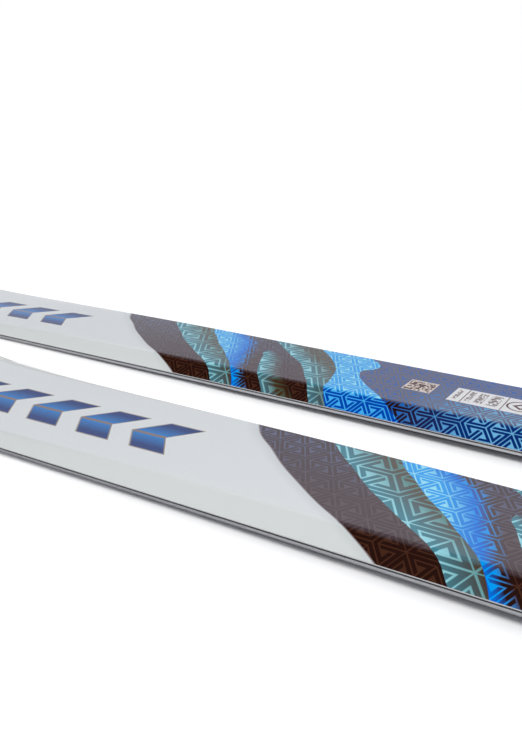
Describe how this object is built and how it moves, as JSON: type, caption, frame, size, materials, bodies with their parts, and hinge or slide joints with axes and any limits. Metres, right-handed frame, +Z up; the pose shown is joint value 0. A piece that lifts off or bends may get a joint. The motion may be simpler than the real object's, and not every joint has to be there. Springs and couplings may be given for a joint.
{
  "type": "cross country ski",
  "caption": "Wide, steel-edged cap-construction cross country skis with turned-up tips and a glossy wave-and-key patterned topsheet, lying flat side by side.",
  "frame": {"origin": "on the floor, under the middle of the pair's bounding box", "axes": "+X towards the tips, +Y towards the left ski, +Z up"},
  "size_m": [2.0394, 0.2894, 0.0532],
  "materials": {
    "topsheet": "glossy clear-coated print",
    "fibreglass": "resin-wetted glass weave",
    "binding_plate": "brushed sheet",
    "ash": "planed, open grain",
    "poplar": "planed, fine grain",
    "beech": "planed, flecked grain",
    "spacer": "moulded",
    "rubber_strip": "matte",
    "steel_edge": "ground",
    "running_base": "structured, waxed"
  },
  "bodies": {
    "left_ski": {"left_ski_topsheet": "topsheet", "left_ski_upper_laminate": "fibreglass", "left_ski_binding_plate": "binding_plate", "left_ski_core_outside": "ash", "left_ski_core_outside_mid": "poplar", "left_ski_core_centre": "beech", "left_ski_core_inside_mid": "poplar", "left_ski_core_inside": "ash", "left_ski_tip_spacer": "spacer", "left_ski_tail_spacer": "spacer", "left_ski_lower_laminate": "fibreglass", "left_ski_outside_edge_strip": "rubber_strip", "left_ski_inside_edge_strip": "rubber_strip", "left_ski_outside_edge": "steel_edge", "left_ski_inside_edge": "steel_edge", "left_ski_base": "running_base"},
    "right_ski": {"right_ski_topsheet": "topsheet", "right_ski_upper_laminate": "fibreglass", "right_ski_binding_plate": "binding_plate", "right_ski_core_outside": "ash", "right_ski_core_outside_mid": "poplar", "right_ski_core_centre": "beech", "right_ski_core_inside_mid": "poplar", "right_ski_core_inside": "ash", "right_ski_tip_spacer": "spacer", "right_ski_tail_spacer": "spacer", "right_ski_lower_laminate": "fibreglass", "right_ski_outside_edge_strip": "rubber_strip", "right_ski_inside_edge_strip": "rubber_strip", "right_ski_outside_edge": "steel_edge", "right_ski_inside_edge": "steel_edge", "right_ski_base": "running_base"}
  },
  "joints": [
    {"name": "right_ski_glide", "type": "slide", "parent": "left_ski", "child": "right_ski", "axis": [1, 0, 0], "range_m": [-0.84, 0.36]}
  ]
}
